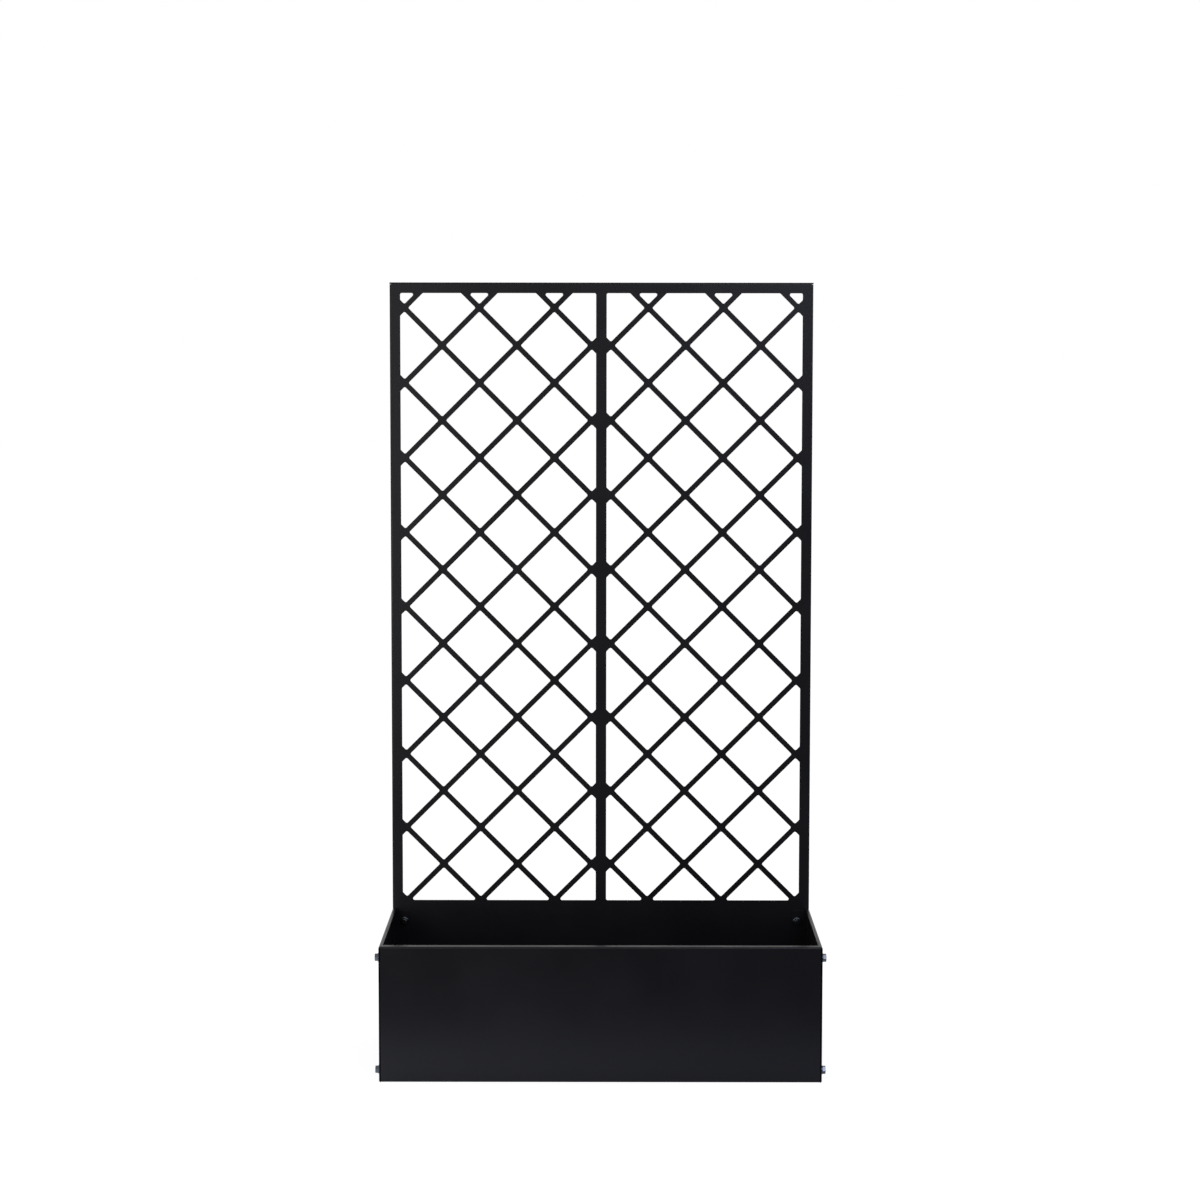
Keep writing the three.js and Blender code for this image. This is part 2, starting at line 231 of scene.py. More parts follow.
def modify(piece, kind, **settings):
    modifier = piece.modifiers.new(kind.lower(), kind)
    for name, value in settings.items():
        setattr(modifier, name, value)


def settle(piece):
    """Replaces the piece's mesh with what its modifiers make of it, and removes them."""
    graph = bpy.context.evaluated_depsgraph_get()
    graph.update()
    result = bpy.data.meshes.new_from_object(piece.evaluated_get(graph), depsgraph=graph)
    piece.modifiers.clear()
    piece.data = result
    return piece


def run_nodes(piece, tree, **values):
    """Puts the piece through a Geometry Nodes tree. values are the tree's inputs, by name."""
    modifier = piece.modifiers.new(tree.name, "NODES")
    modifier.node_group = tree
    for item in tree.interface.items_tree:
        name = item.name.lower().replace(" ", "_")
        if item.in_out == "INPUT" and name in values:
            modifier[item.identifier] = values[name]
    return settle(piece)


def new_tree(name, **inputs):
    """A tree with a geometry output and inputs of each kind. Gives the tree and its two ends."""
    tree = bpy.data.node_groups.new(name, "GeometryNodeTree")
    for kind, titles in inputs.items():
        for title in titles:
            tree.interface.new_socket(title, in_out="INPUT", socket_type="NodeSocket" + kind)
    tree.interface.new_socket("Geometry", in_out="OUTPUT", socket_type="NodeSocketGeometry")
    return tree, add(tree, "NodeGroupInput").outputs, add(tree, "NodeGroupOutput")


def end_tree(tree, given, result, geometry):
    real = add(tree, "GeometryNodeRealizeInstances", {0: geometry})
    made = add(tree, "GeometryNodeSetMaterial", {"Geometry": real, "Material": given["Material"]})
    tree.links.new(made.outputs[0], result.inputs[0])
    return tree


print("helpers:", ", ".join(helper.__name__ for helper in (object_of, object_from, settle, run_nodes)))

# %% [markdown]
# ## Folded sheet
# Each panel starts as the outer skin of the sheet: a flat polygon and, along each folded edge, a strip
# that turns through a quarter circle into the flange. Solidify then gives the steel its 1.5 mm
# inwards, so inside radii come out right by themselves. Where two folds meet, one flange stops short
# of the other, as the slit does that a bending tool needs. Panels are drawn flat, x across and y up,
# with z going in from the outer face, and are then turned to their places.

# %% Describe a panel
SHEET = 1.5 * MM
FOLD = 3.0 * MM  # outside radius of a fold
SLIT = 0.6 * MM
TOUCH = 0.3 * MM  # gap between neighbouring panels
UPRIGHT_END = FOLD + SLIT  # where an upright flange stops, from the edge above or below


class Panel:
    """A panel's size and its flanges: edge name, depth, and where the flange starts and ends."""

    def __init__(self, width, height, flanges):
        self.width, self.height, self.flanges = width, height, flanges
        folded = [flange[0] for flange in flanges]
        self.left = -width / 2 + (FOLD if "left" in folded else 0)
        self.right = width / 2 - (FOLD if "right" in folded else 0)
        self.bottom = FOLD if "bottom" in folded else 0
        self.top = height - (FOLD if "top" in folded else 0)

    def spot(self, edge, inward, depth, along):
        """The point at a distance in from a folded edge, at a depth, at a place along the edge."""
        places = {
            "bottom": (along, inward), "top": (along, self.height - inward),
            "left": (-self.width / 2 + inward, along), "right": (self.width / 2 - inward, along)}
        return Vector((*places[edge], depth))

    def flat_span(self, edge):
        """Where the flat of the panel starts and ends along an edge."""
        return (self.left, self.right) if edge in ("top", "bottom") else (self.bottom, self.top)

    def outline(self):
        """The flat of the panel as a list of corners, with a point wherever a flange starts or ends."""
        edges = (("bottom", False), ("right", False), ("top", True), ("left", True))
        sides = {"bottom": self.bottom, "top": self.top, "left": self.left, "right": self.right}
        points = []
        for edge, backwards in edges:
            low, high = self.flat_span(edge)
            stops = {low, high}
            for name, _, ends in self.flanges:
                if name == edge:
                    stops |= {stop for stop in ends(0.0) if low < stop < high}
            for stop in sorted(stops, reverse=backwards)[:-1]:
                level = sides[edge]
                across = edge in ("top", "bottom")
                points.append(Vector((stop, level, 0)) if across else Vector((level, stop, 0)))
        return points


print("sheet %.1f mm, folds %.1f mm outside" % (SHEET / MM, FOLD / MM))

# %% [markdown]
# ## The skin of a panel
# In section, a fold is a quarter circle of short steps and its flange is one straight step after it. A
# strip of faces carries that section along the edge. The flat and the strips are one skin once their
# doubles are merged, and the faces are then turned so that all of them look out.

# %% Draw the skin
FOLD_STEPS = 8
MERGE = 0.002 * MM


def section(depth):
    """A fold and its flange in section, as distance in from the edge and depth."""
    turns = [math.pi / 2 * i / FOLD_STEPS for i in range(FOLD_STEPS + 1)]
    curve = [(FOLD - FOLD * math.sin(a), FOLD - FOLD * math.cos(a)) for a in turns]
    return curve + [(0.0, depth)]


def add_flange(mesh, panel, edge, depth, ends):
    """Adds a strip of faces. ends(depth) gives where the flange starts and ends at that depth."""
    low, high = panel.flat_span(edge)
    rows = []
    for inward, deep in section(depth):
        start, end = ends(deep)
        stops = [start] + [min(max(s, start), end) for s in (low, high)] + [end]
        rows.append([mesh.verts.new(panel.spot(edge, inward, deep, s)) for s in stops])
    for row, following in zip(rows, rows[1:]):
        for i in range(len(row) - 1):
            mesh.faces.new((row[i], row[i + 1], following[i + 1], following[i]))


def skin_of(name, panel, flat=None):
    """The folded skin as an object. flat is a ready mesh for the flat, or None for a plain one."""
    mesh = bmesh.new()
    if flat:
        mesh.from_mesh(flat)
    else:
        mesh.faces.new([mesh.verts.new(point) for point in panel.outline()])
    for edge, depth, ends in panel.flanges:
        add_flange(mesh, panel, edge, depth, ends)
    bmesh.ops.remove_doubles(mesh, verts=mesh.verts, dist=MERGE)
    bmesh.ops.dissolve_degenerate(mesh, edges=mesh.edges, dist=MERGE)
    bmesh.ops.recalc_face_normals(mesh, faces=mesh.faces)
    biggest = max(mesh.faces, key=lambda face: face.calc_area())
    if biggest.normal.z > 0:
        bmesh.ops.reverse_faces(mesh, faces=mesh.faces)
    return object_from(name, mesh)


print("a fold has", FOLD_STEPS, "steps")

# %% [markdown]
# ## Eased edges
# The coat rounds every cut edge by a fraction of a millimetre, and there the steel catches the light. A
# bevel on the sharp edges gives that. Weighted normals keep the broad faces flat and the folds smooth.

# %% Ease the edges
EDGE_EASE = 0.3 * MM  # radius that the coat leaves on a cut edge
SHARP_EDGE = math.radians(40)


def ease_edges(piece, radius, limit="ANGLE"):
    """Rounds the sharp edges: all of them at limit "ANGLE", or at "WEIGHT" those that are marked."""
    piece.data.polygons.foreach_set("use_smooth", [True] * len(piece.data.polygons))
    modify(
        piece, "BEVEL", width=radius, segments=2, limit_method=limit, angle_limit=SHARP_EDGE,
        miter_outer="MITER_ARC")
    modify(piece, "WEIGHTED_NORMAL", weight=100)
    return settle(piece)


print("an edge is sharp from", round(math.degrees(SHARP_EDGE)), "degrees")

# %% [markdown]
# ## From skin to steel
# Solidify turns the skin into sheet. A Boolean takes out the holes and notches, which on the real
# sheet are cut by laser before it is folded. Its cutters are plain rods and blocks in one object.

# %% Thicken and cut
HOLE_SIDES = 40
CUTTER_LENGTH = 8 * SHEET  # well past both faces of the sheet


def cutter_of(holes, blocks):
    """Cutters as one object. A hole is centre, axis, diameter, and a block is low and high corner."""
    mesh = bmesh.new()
    for centre, axis, diameter in holes:
        turn = Matrix.Rotation(math.pi / 2, 4, "Y") if axis == "x" else Matrix.Identity(4)
        bmesh.ops.create_cone(
            mesh, cap_ends=True, segments=HOLE_SIDES, radius1=diameter / 2, radius2=diameter / 2,
            depth=CUTTER_LENGTH, matrix=Matrix.Translation(centre) @ turn)
    for low, high in blocks:
        low, high = Vector(low), Vector(high)
        size = Matrix.Diagonal((*(high - low), 1))
        bmesh.ops.create_cube(mesh, size=1, matrix=Matrix.Translation((low + high) / 2) @ size)
    return object_from("cutter", mesh)


def steel_from(skin, holes=(), blocks=()):
    """The sheet of steel that a skin is the outside of."""
    cutter = cutter_of(holes, blocks)
    modify(skin, "SOLIDIFY", thickness=SHEET, offset=-1, use_even_offset=True)
    modify(skin, "BOOLEAN", operation="DIFFERENCE", solver="EXACT", object=cutter)
    settle(skin)
    bpy.data.objects.remove(cutter)
    return ease_edges(skin, EDGE_EASE)


print("a cutter for a hole is", round(CUTTER_LENGTH / MM), "mm long")

# %% [markdown]
# ## Into its place
# A panel is turned from the plane that it was drawn in, and its place goes into its mesh, so that its
# object stays at the origin. A finished piece gets its material and stands for its nodes in the frame.

# %% Stand a panel up, finish a piece
def stand(piece, turn, x, y):
    """Turns a panel from its own plane to upright. At turn 0 its outer face looks towards +Y."""
    upright = Matrix.Rotation(turn, 4, "Z") @ Matrix.Rotation(math.pi / 2, 4, "X")
    piece.data.transform(Matrix.Translation((x, y, 0)) @ upright)
    return piece


def finish(piece, material, slot, *nodes):
    """Gives a piece its material and puts it in place of the frame's nodes. slot is not used."""
    piece.data.materials.clear()
    piece.data.materials.append(material)
    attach(piece, "root")
    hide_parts(*nodes)
    triangles = sum(len(face.vertices) - 2 for face in piece.data.polygons)
    print(piece.name, "has", triangles, "triangles")


# %% [markdown]
# ## Sizes of the box
# The frame's nodes give the outline of each panel. Their boxes don't tell the sizes inside a panel, so
# these are written out: a 16 mm lip in front, 7 mm lips at the sides, 22 mm flanges under the base,
# and 9 mm holes for M8 bolts.

# %% Read the sizes
trellis_low, trellis_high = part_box("trellis_panel")
front_low, front_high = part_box("front_panel")
base_low, base_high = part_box("base_panel")

HALF_WIDTH = trellis_high.x
OVERALL_HEIGHT = trellis_high.z
RIM = front_high.z
TRELLIS_FACE_Y = trellis_low.y
FRONT_Y = front_low.y
FRONT_HALF_WIDTH = front_high.x
SIDE_BACK_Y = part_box("left_side_panel")[1].y

FRONT_LIP = 16 * MM
FRONT_RETURN = 30 * MM
SIDE_LIP = 7 * MM
SIDE_BACK_FLANGE = 32 * MM
BOTTOM_FLANGE = 22 * MM
TRELLIS_RETURN = trellis_high.y - trellis_low.y
BASE_UPSTAND = base_high.z - base_low.z
BOLT_HOLE = 9 * MM
DRAIN_HOLE = 12 * MM
box_size = (2 * HALF_WIDTH, TRELLIS_FACE_Y - FRONT_Y, RIM)
print("box %.0f x %.0f x %.0f mm" % tuple(side / MM for side in box_size))

# %% [markdown]
# ## Where the bolts are
# Eight M8 bolts hold the four corners: two at each front corner, through the ends, and two at each
# back corner, through the trellis. The washer nodes give their places. A bolt's outward direction is
# along X at the front corners and along +Y at the back.

# %% Find the bolts
WASHER_THICKNESS = 1.6 * MM
WASHER_MIDDLE = TOUCH + WASHER_THICKNESS / 2  # from the face of the sheet


def nodes_ending(text):
    return sorted(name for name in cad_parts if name.endswith(text))


def bolt_places():
    """The place of each bolt on the face of the sheet, and its outward direction."""
    places = []
    for name in nodes_ending("_washer"):
        low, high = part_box(name)
        middle = (low + high) / 2
        outward = Vector((math.copysign(1, middle.x), 0, 0))
        if name.startswith("back"):
            outward = Vector((0, 1, 0))
        places.append((middle - outward * WASHER_MIDDLE, outward))
    return places


BOLTS = bolt_places()
FRONT_BOLTS = [place for place, outward in BOLTS if outward.x > 0]  # the left end's mirror these
BACK_BOLTS = [place for place, outward in BOLTS if outward.y > 0]
print(len(BOLTS), "bolts")

# %% [markdown]
# ## The lattice
# The back wall is cut by laser into a lattice of diamonds in two fields, beside a plain bar in the
# middle. The cells lie on a square grid, on every other point, and cells that cross the border of a
# field are cut off by it. Every corner is rounded, as a laser leaves it and a designer asks for.
# A rule like this suits Geometry Nodes: a grid, a test for even points, one diamond instanced on them,
# the overlap with the field, and rounded curves that become holes when the sheet's outline is filled.
# The points come first. Even ones are chosen, as the squares of one colour are on a chessboard.

# %% Choose the lattice's points
HALVES = (0.5, 0.5, 0.5)
SAFE_PHASE = 0.25  # keeps each point well away from the limits of the test


def even_points(tree, given):
    """The grid's points, and a selection of every other one."""
    spread = add(tree, "ShaderNodeSeparateXYZ", {0: given["Spread"]}).outputs
    grid = add(tree, "GeometryNodeMeshGrid", {
        "Size X": spread["X"], "Size Y": spread["Y"],
        "Vertices X": given["Columns"], "Vertices Y": given["Rows"]})
    middle = add(tree, "ShaderNodeVectorMath", {
        0: given["Spread"], 1: HALVES, 2: given["First cell"]}, operation="MULTIPLY_ADD")
    points = add(tree, "GeometryNodeTransform", {"Geometry": grid, "Translation": middle})
    place = add(tree, "GeometryNodeInputPosition")
    offset = add(tree, "ShaderNodeVectorMath", {0: place, 1: given["First cell"]}, operation="SUBTRACT")
    along = add(tree, "ShaderNodeVectorMath", {0: offset, 1: (1, 1, 0)}, operation="DOT_PRODUCT")
    half = add(tree, "ShaderNodeMath", {0: 0.5, 1: given["Step"]}, operation="DIVIDE")
    phase = add(tree, "ShaderNodeMath", {
        0: along.outputs["Value"], 1: half, 2: SAFE_PHASE}, operation="MULTIPLY_ADD")
    part = add(tree, "ShaderNodeMath", {0: phase}, operation="FRACT")
    even = add(tree, "ShaderNodeMath", {0: part, 1: 0.5}, operation="LESS_THAN")
    return points, even


print("phase of even points %.2f, of odd ones %.2f" % (SAFE_PHASE, SAFE_PHASE + 0.5))

# %% [markdown]
# ## Cells of the lattice
# A cell is a four-sided prism. What the prisms share with a thinner block, as large as the field, is
# the cells cut off at the field's border.

# %% Cut the cells to the field
PRISM_DEPTH = 20 * MM
FIELD_HALF_DEPTH = 5 * MM


def cells_in_field(tree, given, points, chosen):
    diamond = add(tree, "GeometryNodeMeshCylinder", {
        "Vertices": 4, "Radius": given["Reach"], "Depth": PRISM_DEPTH})
    cells = add(tree, "GeometryNodeInstanceOnPoints", {
        "Points": points, "Selection": chosen, "Instance": diamond})
    prisms = add(tree, "GeometryNodeRealizeInstances", {0: cells})
    size = add(tree, "ShaderNodeVectorMath", {
        0: given["Field high"], 1: given["Field low"]}, operation="SUBTRACT")
    centre = add(tree, "ShaderNodeVectorMath", {
        0: size, 1: HALVES, 2: given["Field low"]}, operation="MULTIPLY_ADD")
    block = add(tree, "GeometryNodeMeshCube", {"Size": size})
    field = add(tree, "GeometryNodeTransform", {"Geometry": block, "Translation": centre})
    return add(tree, "GeometryNodeMeshBoolean", {
        "Mesh 2": [prisms, field]}, operation="INTERSECT", solver="EXACT")


print("the field's block is", round(2 * FIELD_HALF_DEPTH / MM), "mm deep")

# %% [markdown]
# ## Holes of the lattice
# Only the upper faces of the cells stay, pressed flat. Their borders become curves whose corners are
# rounded. The other field is the same curves mirrored, and with the outline of the panel they all fill
# to one sheet with holes.

# %% Build the lattice tree
def rounded_borders(tree, given, cells):
    normal = add(tree, "GeometryNodeInputNormal")
    upward = add(tree, "ShaderNodeSeparateXYZ", {0: normal}).outputs["Z"]
    lower = add(tree, "ShaderNodeMath", {0: upward, 1: 0.5}, operation="LESS_THAN")
    faces = add(tree, "GeometryNodeDeleteGeometry", {
        "Geometry": cells, "Selection": lower}, domain="FACE")
    place = add(tree, "GeometryNodeInputPosition")
    flat = add(tree, "ShaderNodeVectorMath", {0: place, 1: (1, 1, 0)}, operation="MULTIPLY")
    faces = add(tree, "GeometryNodeSetPosition", {"Geometry": faces, "Position": flat})
    beside = add(tree, "GeometryNodeInputMeshEdgeNeighbors")
    border = add(tree, "FunctionNodeCompare", {2: beside, 3: 1}, data_type="INT", operation="EQUAL")
    curves = add(tree, "GeometryNodeMeshToCurve", {"Mesh": faces, "Selection": border})
    return add(tree, "GeometryNodeFilletCurve", {
        "Curve": curves, "Radius": given["Fillet"], "Count": given["Fillet steps"],
        "Limit Radius": True}, mode="POLY")


def lattice_tree():
    tree, given, result = new_tree(
        "lattice", Geometry=["Outline"], Vector=["First cell", "Spread", "Field low", "Field high"],
        Int=["Columns", "Rows", "Fillet steps"], Float=["Step", "Reach", "Fillet"], Material=["Material"])
    points, even = even_points(tree, given)
    rounded = rounded_borders(tree, given, cells_in_field(tree, given, points, even))
    mirrored = add(tree, "GeometryNodeTransform", {"Geometry": rounded, "Scale": (-1, 1, 1)})
    outline = add(tree, "GeometryNodeMeshToCurve", {"Mesh": given["Outline"]})
    joined = add(tree, "GeometryNodeJoinGeometry", {0: [outline, rounded, mirrored]})
    sheet = add(tree, "GeometryNodeFillCurve", {"Curve": joined}, mode="NGONS")
    return end_tree(tree, given, result, sheet)


LATTICE = lattice_tree()
print("lattice tree:", len(LATTICE.nodes), "nodes")

# %% [markdown]
# ## Trellis panel
# The lattice, the wall below it and four folded edges are one sheet. The cells take their places from
# the sheet: the fields lie inside the border, and the lowest row of cells is centred on the bottom
# edge of the window, so it shows as half diamonds.

# %% Make the trellis panel
BORDER = 20 * MM  # plain strip beside and above the lattice
CENTRE_BAR = 20 * MM
WINDOW_ABOVE_RIM = 15.5 * MM
LATTICE_MARGIN = 8 * MM  # from a field's edge to the nearest column of cells
HALF_CELLS = 5  # half cells between the first column and the last
STRIP = 10 * MM  # steel between neighbouring cells
CELL_FILLET = 3 * MM
FILLET_STEPS = 6
SMALLEST_CUT = 8 * MM  # a cell that would reach less far into the field isn't cut


def trellis_panel():
    upright = (UPRIGHT_END, OVERALL_HEIGHT - UPRIGHT_END)
    across = (-HALF_WIDTH, HALF_WIDTH)
    panel = Panel(2 * HALF_WIDTH, OVERALL_HEIGHT, [
        ("top", TRELLIS_RETURN, lambda depth: across),
        ("bottom", TRELLIS_RETURN, lambda depth: across),
        ("left", TRELLIS_RETURN, lambda depth: upright),
        ("right", TRELLIS_RETURN, lambda depth: upright)])
    outline = bmesh.new()
    outline.faces.new([outline.verts.new(point) for point in panel.outline()])

    inner = CENTRE_BAR / 2
    outer = HALF_WIDTH - BORDER
    bottom = RIM + WINDOW_ABOVE_RIM
    top = OVERALL_HEIGHT - BORDER
    step = (outer - inner - 2 * LATTICE_MARGIN) / HALF_CELLS
    reach = step - STRIP / math.sqrt(2)
    rows = math.ceil((top - SMALLEST_CUT - bottom + reach) / step)
    print("lattice: %d rows of cells, %.1f mm apart" % (rows, step / MM))
    flat = run_nodes(
        object_from("lattice", outline), LATTICE,
        first_cell=(inner + LATTICE_MARGIN, bottom, 0), spread=(HALF_CELLS * step, (rows - 1) * step, 0),
        columns=HALF_CELLS + 1, rows=rows, step=step, reach=reach,
        field_low=(inner, bottom, -FIELD_HALF_DEPTH), field_high=(outer, top, FIELD_HALF_DEPTH),
        fillet=CELL_FILLET, fillet_steps=FILLET_STEPS, material=COAT)
    skin = skin_of("trellis", panel, flat.data)
    bpy.data.objects.remove(flat)
    holes = [((place.x, place.z, 0), "z", BOLT_HOLE) for place in BACK_BOLTS]
    steel = steel_from(skin, holes)
    return stand(steel, math.pi, 0, TRELLIS_FACE_Y)


finish(trellis_panel(), COAT, "powder_coated_steel", "trellis_panel")

# %% [markdown]
# ## Front panel
# The lips of the front and the sides meet on a slanted mitre. Its gap is as wide as the gap between
# neighbouring panels. The front panel's side returns go inside the ends, where the bolts pass both.
# Under the base the flanges leave each other's corners free.

# %% Make the front panel
MITRE_FROM = SHEET + TOUCH / 2  # in from the end of the box, at the front
MITRE_SLOPE = (SIDE_LIP - MITRE_FROM) / FRONT_LIP  # in from the end, for each step back
MITRE_GAP = TOUCH / 2 * math.hypot(1, MITRE_SLOPE)
NOTCH_DEPTH = 2 * BOTTOM_FLANGE  # a notch goes right through the bottom flange


def front_panel():
    def lip(depth):
        end = min(FRONT_HALF_WIDTH, HALF_WIDTH - MITRE_FROM - MITRE_SLOPE * depth - MITRE_GAP)
        return -end, end

    under = HALF_WIDTH - FOLD - TOUCH
    corner = HALF_WIDTH - BOTTOM_FLANGE - TOUCH
    upright = (UPRIGHT_END, RIM - UPRIGHT_END)
    panel = Panel(2 * FRONT_HALF_WIDTH, RIM, [
        ("top", FRONT_LIP, lip),
        ("bottom", BOTTOM_FLANGE, lambda depth: (-under, under)),
        ("left", FRONT_RETURN, lambda depth: upright),
        ("right", FRONT_RETURN, lambda depth: upright)])
    holes = [((side * FRONT_HALF_WIDTH, place.z, place.y - FRONT_Y), "x", BOLT_HOLE)
             for place in FRONT_BOLTS for side in (-1, 1)]
    notches = [((x, -SHEET, FOLD), (x + HALF_WIDTH - corner, FOLD, NOTCH_DEPTH))
               for x in (-HALF_WIDTH, corner)]
    return stand(steel_from(skin_of("front", panel), holes, notches), math.pi, 0, FRONT_Y)


finish(front_panel(), COAT, "powder_coated_steel", "front_panel")

# %% [markdown]
# ## Side panels
# The ends of the box are mirror images, so one function makes both. As a panel is drawn, its x runs
# towards the back on the left end and towards the front on the right end, and a small function turns
# distances from the front into places along x.

# %% Make the side panels
def side_panel(side):
    """side is -1 for the left panel and 1 for the right."""
    width = SIDE_BACK_Y - FRONT_Y
    back = "right" if side < 0 else "left"

    def between(from_front, to_front):
        ends = (side * (width / 2 - from_front), side * (width / 2 - to_front))
        return min(ends), max(ends)

    def lip(depth):
        start = (depth - MITRE_FROM + MITRE_GAP) / MITRE_SLOPE
        return between(max(0.0, start), width)

    panel = Panel(width, RIM, [
        ("top", SIDE_LIP, lip),
        ("bottom", BOTTOM_FLANGE, lambda depth: between(0, width)),
        (back, SIDE_BACK_FLANGE, lambda depth: (UPRIGHT_END, RIM - UPRIGHT_END))])
    holes = [((side * (width / 2 - (place.y - FRONT_Y)), place.z, 0), "z", BOLT_HOLE)
             for place in FRONT_BOLTS]
    holes += [((-side * width / 2, place.z, HALF_WIDTH - place.x), "x", BOLT_HOLE)
              for place in BACK_BOLTS if place.x > 0]
    start, end = between(-SHEET, FOLD + TOUCH)
    notch = ((start, -SHEET, FOLD), (end, FOLD, NOTCH_DEPTH))
    name = "left_side" if side < 0 else "right_side"
    steel = steel_from(skin_of(name, panel), holes, [notch])
    return stand(steel, -side * math.pi / 2, side * HALF_WIDTH, (FRONT_Y + SIDE_BACK_Y) / 2)


finish(side_panel(-1), COAT, "powder_coated_steel", "left_side_panel")
finish(side_panel(1), COAT, "powder_coated_steel", "right_side_panel")

# %% [markdown]
# ## Base panel
# The base lies loose on the bottom flanges. It is a plain sheet with six holes that let water out, and
# its back edge is folded up against the trellis, which keeps it stiff.

# %% Make the base panel
DRAIN_COLUMNS = 3
DRAIN_ROWS = 2
DRAIN_INSET = 80 * MM


def base_panel():
    half = base_high.x
    depth = base_high.y - base_low.y
    upstand_half = HALF_WIDTH - SIDE_BACK_FLANGE - TOUCH
    panel = Panel(2 * half, depth, [
        ("top", BASE_UPSTAND, lambda deep: (-upstand_half, upstand_half))])
    drains = []
    for column in range(DRAIN_COLUMNS):
        for row in range(DRAIN_ROWS):
            x = (half - DRAIN_INSET) * (2 * column / (DRAIN_COLUMNS - 1) - 1)
            y = DRAIN_INSET + (depth - 2 * DRAIN_INSET) * row / (DRAIN_ROWS - 1)
            drains.append(((x, y, 0), "z", DRAIN_HOLE))
    steel = steel_from(skin_of("base", panel), drains)
    steel.data.transform(Matrix.Translation((0, base_low.y, base_low.z)))
    return steel


finish(base_panel(), COAT, "powder_coated_steel", "base_panel")

# %% [markdown]
# ## Fasteners
# Bolts, washers and nuts are eight each and all alike, so each kind is modelled once in a node tree and
# instanced on eight points. Each point carries the direction in which its bolt looks, and each copy has
# a turn of its own about that axis, as fasteners have that were tightened by hand. The eased edges
# are a bevel on the finished mesh, so the tree marks which edges it may touch.

# %% Put copies on the points
SHARE_OF_TURN = math.radians(60)  # a hexagon looks the same again after this turn


def place_copies(tree, given, result, shape):
    """Ends a tree: copies of a shape on the points, with its z axis along each point's direction."""
    outward = add(tree, "GeometryNodeInputNamedAttribute", {
        "Name": "outward"}, data_type="FLOAT_VECTOR")
    aligned = add(tree, "FunctionNodeAlignRotationToVector", {"Vector": outward}, axis="Z")
    turn = add(tree, "FunctionNodeRandomValue", {2: 0.0, 3: SHARE_OF_TURN, "Seed": given["Seed"]})
    about = add(tree, "ShaderNodeCombineXYZ", {"Z": turn.outputs[1]})
    twist = add(tree, "FunctionNodeEulerToRotation", {0: about})
    turned = add(tree, "FunctionNodeRotateRotation", {
        "Rotation": aligned, "Rotate By": twist}, rotation_space="LOCAL")
    copies = add(tree, "GeometryNodeInstanceOnPoints", {
        "Points": given["Places"], "Instance": shape, "Rotation": turned})
    return end_tree(tree, given, result, copies)


def mark_sharp_edges(tree, shape, from_z):
    """Gives a bevel weight to the sharp edges above a height, so that a thread below stays as it is."""
    angle = add(tree, "GeometryNodeInputMeshEdgeAngle").outputs["Unsigned Angle"]
    sharp = add(tree, "ShaderNodeMath", {0: angle, 1: SHARP_EDGE}, operation="GREATER_THAN")
    place = add(tree, "GeometryNodeInputPosition")
    height = add(tree, "ShaderNodeSeparateXYZ", {0: place}).outputs["Z"]
    above = add(tree, "ShaderNodeMath", {0: height, 1: from_z}, operation="GREATER_THAN")
    weight = add(tree, "ShaderNodeMath", {0: sharp, 1: above}, operation="MULTIPLY")
    return add(tree, "GeometryNodeStoreNamedAttribute", {
        "Geometry": shape, "Name": "bevel_weight_edge", "Value": weight}, domain="EDGE")


print("points for copies:", len(BOLTS))

# %% [markdown]
# ## Hexagons with turned corners
# A bolt's head and a nut are both cut from a hexagonal bar, 13 mm across its flats, and the corners of
# their faces are turned off at 30 degrees. So each is what the bar and a flat cone share.

# %% Make a turned hexagon
TAN_60 = math.sqrt(3)
CONE_SIDES = 60


def lifted(tree, shape, z, turn=0.0):
    """The shape moved up by z and turned about z."""
    up = add(tree, "ShaderNodeCombineXYZ", {"Z": z})
    return add(tree, "GeometryNodeTransform", {
        "Geometry": shape, "Translation": up, "Rotation": (0, 0, turn)})


def turned_hexagon(tree, given, *ends_up):
    """A length of hexagonal bar, with flats towards x. A cone turns off the corners of an end.

    ends_up has True for the upper end and False for the lower one.
    """
    height, bottom = given["Height"], given["Bottom"]
    radius = add(tree, "ShaderNodeMath", {0: given["Across flats"], 1: TAN_60}, operation="DIVIDE")
    bar = add(tree, "GeometryNodeMeshCylinder", {"Vertices": 6, "Radius": radius, "Depth": height})
    middle = add(tree, "ShaderNodeMath", {0: height, 1: 0.5, 2: bottom}, operation="MULTIPLY_ADD")
    solids = [lifted(tree, bar, middle, math.radians(30))]
    small = add(tree, "ShaderNodeMath", {
        0: given["Chamfer"], 1: -TAN_60, 2: radius}, operation="MULTIPLY_ADD")
    large = add(tree, "ShaderNodeMath", {0: height, 1: TAN_60, 2: small}, operation="MULTIPLY_ADD")
    for up in ends_up:
        cone = add(tree, "GeometryNodeMeshCone", {
            "Vertices": CONE_SIDES, "Depth": height,
            "Radius Top": small if up else large, "Radius Bottom": large if up else small})
        solids.append(lifted(tree, cone, bottom))
    return add(tree, "GeometryNodeMeshBoolean", {
        "Mesh 2": solids}, operation="INTERSECT", solver="EXACT")


print("a cone has", CONE_SIDES, "sides")

# %% [markdown]
# ## Thread
# An M8 bolt's thread is rolled, with a pitch of 1.25 mm. It could be a profile swept along a helix, but
# that is hard to join to a rod. Here it is a fine cylinder whose radius follows the helix: height and
# angle together say how far each point is along one turn of it.

# %% Draw the thread
SHANK_SIDES = 32
SHANK_RINGS = 104
CREST_TO = 0.06  # in turns from the middle of a crest, where the slope down starts
ROOT_FROM = 0.42  # and where it reaches the root


